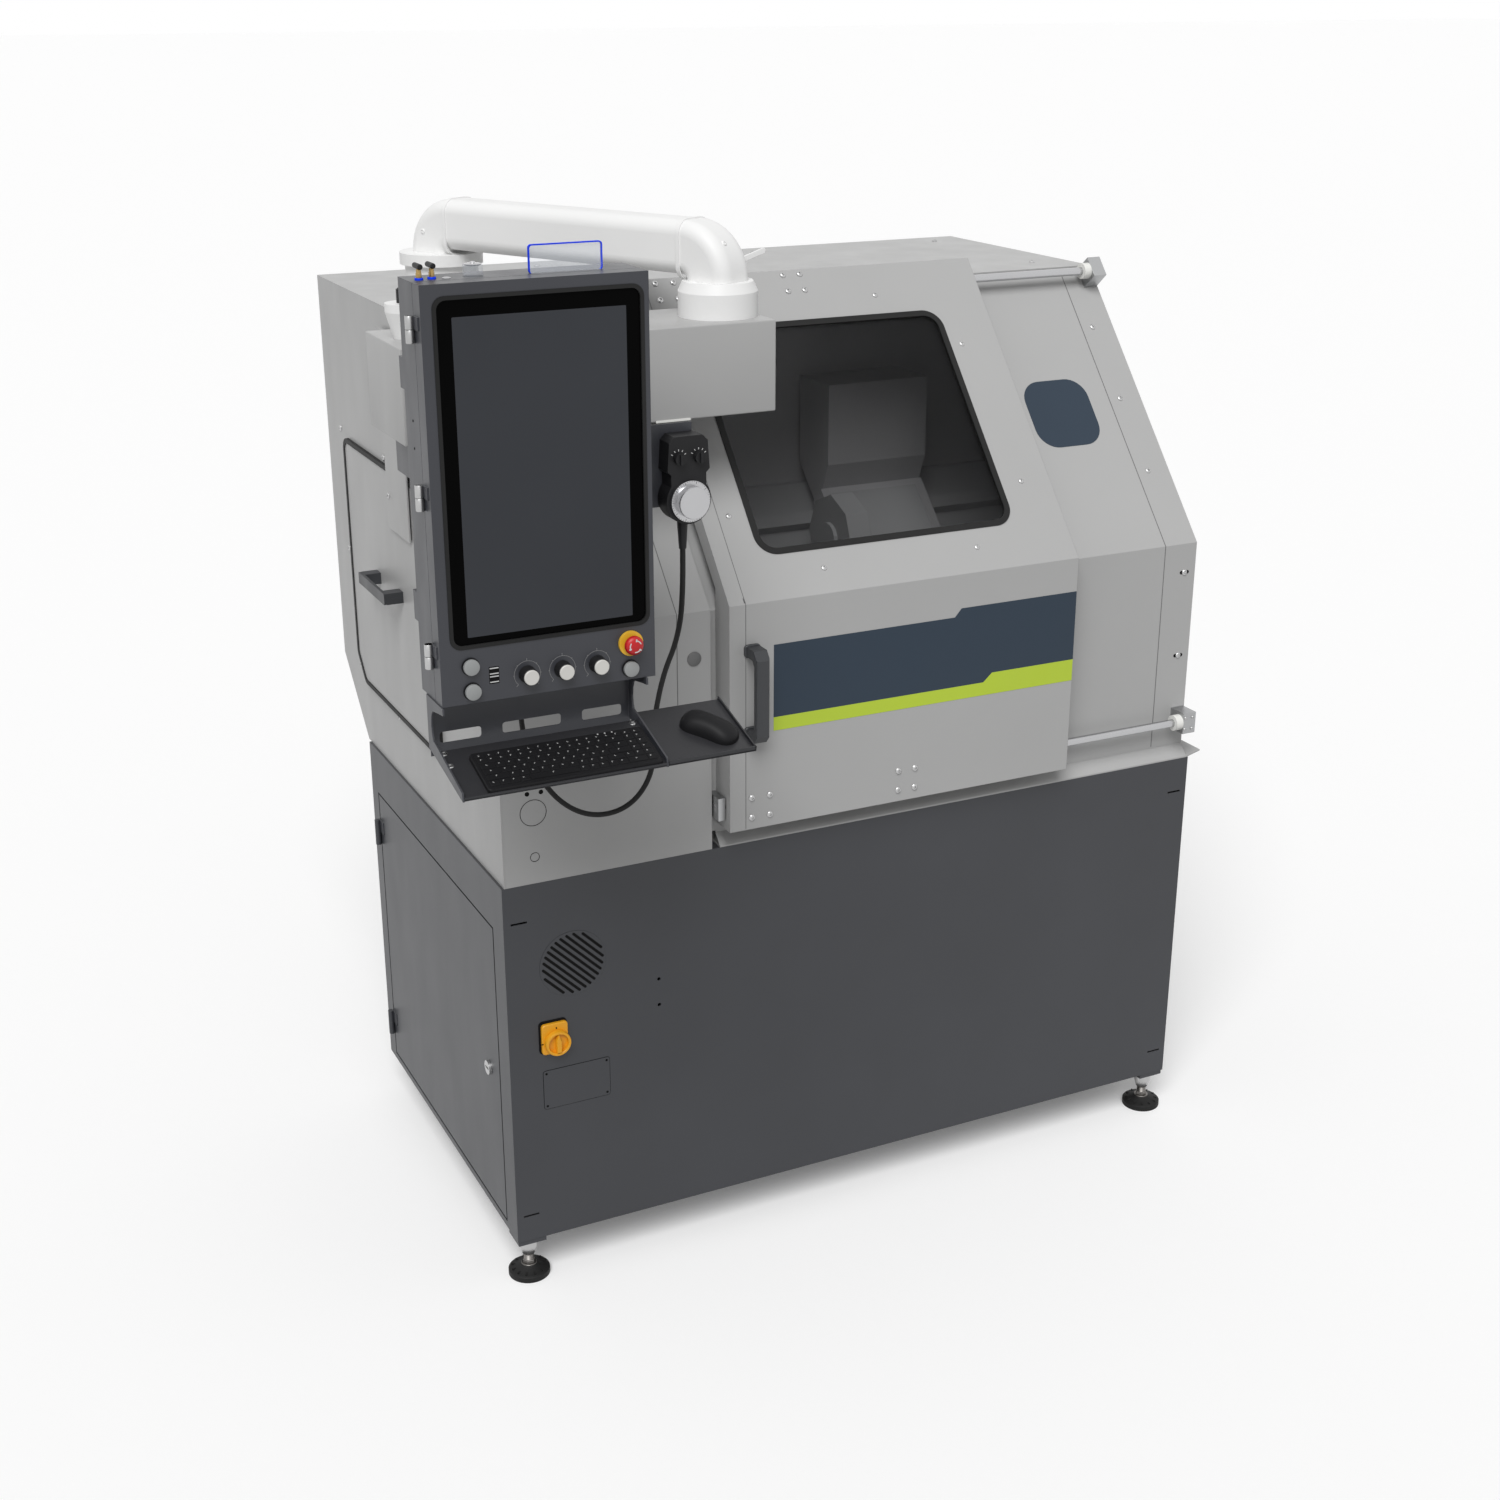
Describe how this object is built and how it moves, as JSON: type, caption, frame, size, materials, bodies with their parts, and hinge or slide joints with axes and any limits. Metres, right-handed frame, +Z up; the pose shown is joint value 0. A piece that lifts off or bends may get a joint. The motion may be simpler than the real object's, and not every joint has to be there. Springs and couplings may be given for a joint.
{
  "type": "cnc turning lathe",
  "caption": "Enclosed turning lathe on a closed sheet metal stand, with a sliding sloped door, a swing-arm control console, keyboard shelf and hand pendant.",
  "frame": {"origin": "middle of the whole machine at rest, on the floor", "axes": "+Z up, +X to the operator's right, +Y away from the operator"},
  "size_m": [1.7335, 1.436, 1.979],
  "materials": {
    "stand_charcoal": "powder coat, fine texture",
    "enclosure_grey": "powder coat, satin",
    "console_slate": "powder coat, fine texture",
    "arm_white": "gloss paint",
    "zinc": "zinc plated",
    "steel": "ground and hard chromed",
    "clamp_aluminium": "machined",
    "black_rubber": "moulded",
    "black_plastic": "fine grain",
    "nylon": "natural nylon",
    "dark_glass": "tinted safety glass",
    "screen": "dark display glass in a black bezel",
    "clear_plastic": "clear acrylic",
    "switch_orange": "moulded",
    "button_grey": "moulded, light grey",
    "button_red": "moulded",
    "button_yellow": "moulded",
    "dial_white": "moulded, white",
    "brass": "turned",
    "casting_grey": "painted casting",
    "cover_dark": "dark sheet cover"
  },
  "bodies": {
    "machine": {"stand_front_panel": "stand_charcoal", "stand_left_panel": "stand_charcoal", "stand_frame": "stand_charcoal", "stand_covers": "stand_charcoal", "foot_pads": "black_rubber", "foot_spindles": "zinc", "switch_plate": "switch_orange", "enclosure_left_wall": "enclosure_grey", "enclosure_rear": "enclosure_grey", "headstock_cover": "enclosure_grey", "front_wall": "enclosure_grey", "roof_panel": "enclosure_grey", "chamber_walls": "cover_dark", "chip_pan": "enclosure_grey", "side_hatch": "enclosure_grey", "hatch_handle": "black_plastic", "door_rails": "steel", "rail_clamps": "clamp_aluminium", "rail_bumpers": "nylon", "arm_pedestal": "arm_white", "bed": "casting_grey"},
    "main_switch": {"switch_knob": "switch_orange"},
    "cabinet_door": {"stand_side_door": "stand_charcoal"},
    "cabinet_lock": {"stand_door_lock": "zinc"},
    "chamber_door": {"door_shell": "enclosure_grey", "door_window": "dark_glass", "window_seal": "black_rubber", "door_handle": "black_plastic", "door_bearings": "clamp_aluminium"},
    "arm": {"arm": "arm_white"},
    "carrier": {"carrier_box": "enclosure_grey", "carrier_collars": "arm_white"},
    "clamp_handle": {"clamp_lever": "black_plastic"},
    "console": {"console_hanger": "console_slate", "console_box": "console_slate", "keyboard_tray": "console_slate", "keyboard": "black_plastic", "mouse": "black_plastic", "air_valves": "brass", "clear_fittings": "clear_plastic", "pendant_body": "black_plastic", "pendant_cable": "black_rubber"},
    "console_door": {"console_front": "console_slate", "display_module": "screen", "stop_ring": "button_yellow"},
    "start": {"start_button": "button_grey"},
    "hold": {"hold_button": "button_grey"},
    "reset": {"reset_button": "button_grey"},
    "stop": {"stop_button": "button_red"},
    "feed_override": {"feed_dial": "dial_white"},
    "rapid_override": {"rapid_dial": "dial_white"},
    "speed_override": {"speed_dial": "dial_white"},
    "left_valve_handle": {"valve_lever_left": "black_plastic"},
    "right_valve_handle": {"valve_lever_right": "black_plastic"},
    "pulse_wheel": {"handwheel": "steel"},
    "axis_switch": {"axis_selector": "black_plastic"},
    "step_switch": {"step_selector": "black_plastic"},
    "long_slide": {"carriage": "cover_dark"},
    "tool_slide": {"cross_slide": "casting_grey"},
    "work_spindle": {"spindle": "steel"}
  },
  "joints": [
    {"name": "main_switch_turn", "type": "hinge", "parent": "machine", "child": "main_switch", "pos_m": [-0.57225, -0.282, 0.5075], "axis": [0, -1, 0], "range_deg": [0, 90]},
    {"name": "cabinet_door_swing", "type": "hinge", "parent": "machine", "child": "cabinet_door", "pos_m": [-0.66875, 0.505, 0.4], "axis": [0, 0, -1], "range_deg": [0, 110]},
    {"name": "cabinet_lock_turn", "type": "hinge", "parent": "cabinet_door", "child": "cabinet_lock", "pos_m": [-0.66225, -0.16, 0.41], "axis": [-1, 0, 0], "range_deg": [0, 90]},
    {"name": "chamber_door_slide", "type": "slide", "parent": "machine", "child": "chamber_door", "axis": [1, 0, 0], "range_m": [0, 0.5]},
    {"name": "arm_swing", "type": "hinge", "parent": "machine", "child": "arm", "pos_m": [-0.48725, 0.426, 1.85], "axis": [0, 0, 1], "range_deg": [-30, 0]},
    {"name": "carrier_swing", "type": "hinge", "parent": "arm", "child": "carrier", "pos_m": [-0.18112, -0.17222, 1.8], "axis": [0, 0, 1], "range_deg": [0, 45]},
    {"name": "clamp_handle_turn", "type": "hinge", "parent": "carrier", "child": "clamp_handle", "pos_m": [-0.74325, -0.164, 1.86], "axis": [0, 0, 1], "range_deg": [-60, 60]},
    {"name": "console_swivel", "type": "hinge", "parent": "carrier", "child": "console", "pos_m": [-0.74325, -0.164, 1.6], "axis": [0, 0, 1], "range_deg": [-45, 10]},
    {"name": "console_door_swing", "type": "hinge", "parent": "console", "child": "console_door", "pos_m": [-0.86075, -0.5895, 1.6], "axis": [0, 0, -1], "range_deg": [0, 100]},
    {"name": "start_press", "type": "slide", "parent": "console_door", "child": "start", "axis": [0, 1, 0], "range_m": [0, 0.003], "stiffness_N_per_m": 300},
    {"name": "hold_press", "type": "slide", "parent": "console_door", "child": "hold", "axis": [0, 1, 0], "range_m": [0, 0.003], "stiffness_N_per_m": 300},
    {"name": "reset_press", "type": "slide", "parent": "console_door", "child": "reset", "axis": [0, 1, 0], "range_m": [0, 0.003], "stiffness_N_per_m": 300},
    {"name": "stop_press", "type": "slide", "parent": "console_door", "child": "stop", "axis": [0, 1, 0], "range_m": [0, 0.006], "stiffness_N_per_m": 300},
    {"name": "feed_override_turn", "type": "hinge", "parent": "console_door", "child": "feed_override", "pos_m": [-0.71725, -0.622, 1.3442], "axis": [0, -1, 0], "range_deg": [-135, 135]},
    {"name": "rapid_override_turn", "type": "hinge", "parent": "console_door", "child": "rapid_override", "pos_m": [-0.65975, -0.622, 1.3442], "axis": [0, -1, 0], "range_deg": [-135, 135]},
    {"name": "speed_override_turn", "type": "hinge", "parent": "console_door", "child": "speed_override", "pos_m": [-0.60225, -0.622, 1.3442], "axis": [0, -1, 0], "range_deg": [-135, 135]},
    {"name": "left_valve_turn", "type": "hinge", "parent": "console", "child": "left_valve_handle", "pos_m": [-0.83725, -0.57, 1.964], "axis": [0, 0, 1], "range_deg": [0, 90]},
    {"name": "right_valve_turn", "type": "hinge", "parent": "console", "child": "right_valve_handle", "pos_m": [-0.81725, -0.567, 1.964], "axis": [0, 0, -1], "range_deg": [0, 90]},
    {"name": "pulse_wheel_turn", "type": "hinge", "parent": "console", "child": "pulse_wheel", "pos_m": [-0.42425, -0.581, 1.575], "axis": [0, -1, 0], "continuous": true},
    {"name": "axis_switch_turn", "type": "hinge", "parent": "console", "child": "axis_switch", "pos_m": [-0.44125, -0.581, 1.643], "axis": [0, -1, 0], "range_deg": [-60, 60]},
    {"name": "step_switch_turn", "type": "hinge", "parent": "console", "child": "step_switch", "pos_m": [-0.40725, -0.581, 1.643], "axis": [0, -1, 0], "range_deg": [-60, 60]},
    {"name": "long_travel", "type": "slide", "parent": "machine", "child": "long_slide", "axis": [1, 0, 0], "range_m": [-0.15, 0.2]},
    {"name": "cross_travel", "type": "slide", "parent": "long_slide", "child": "tool_slide", "axis": [0, -0.7071, -0.7071], "range_m": [0, 0.09]},
    {"name": "spindle_turn", "type": "hinge", "parent": "machine", "child": "work_spindle", "pos_m": [-0.25025, 0.048, 1.131], "axis": [1, 0, 0], "continuous": true}
  ]
}
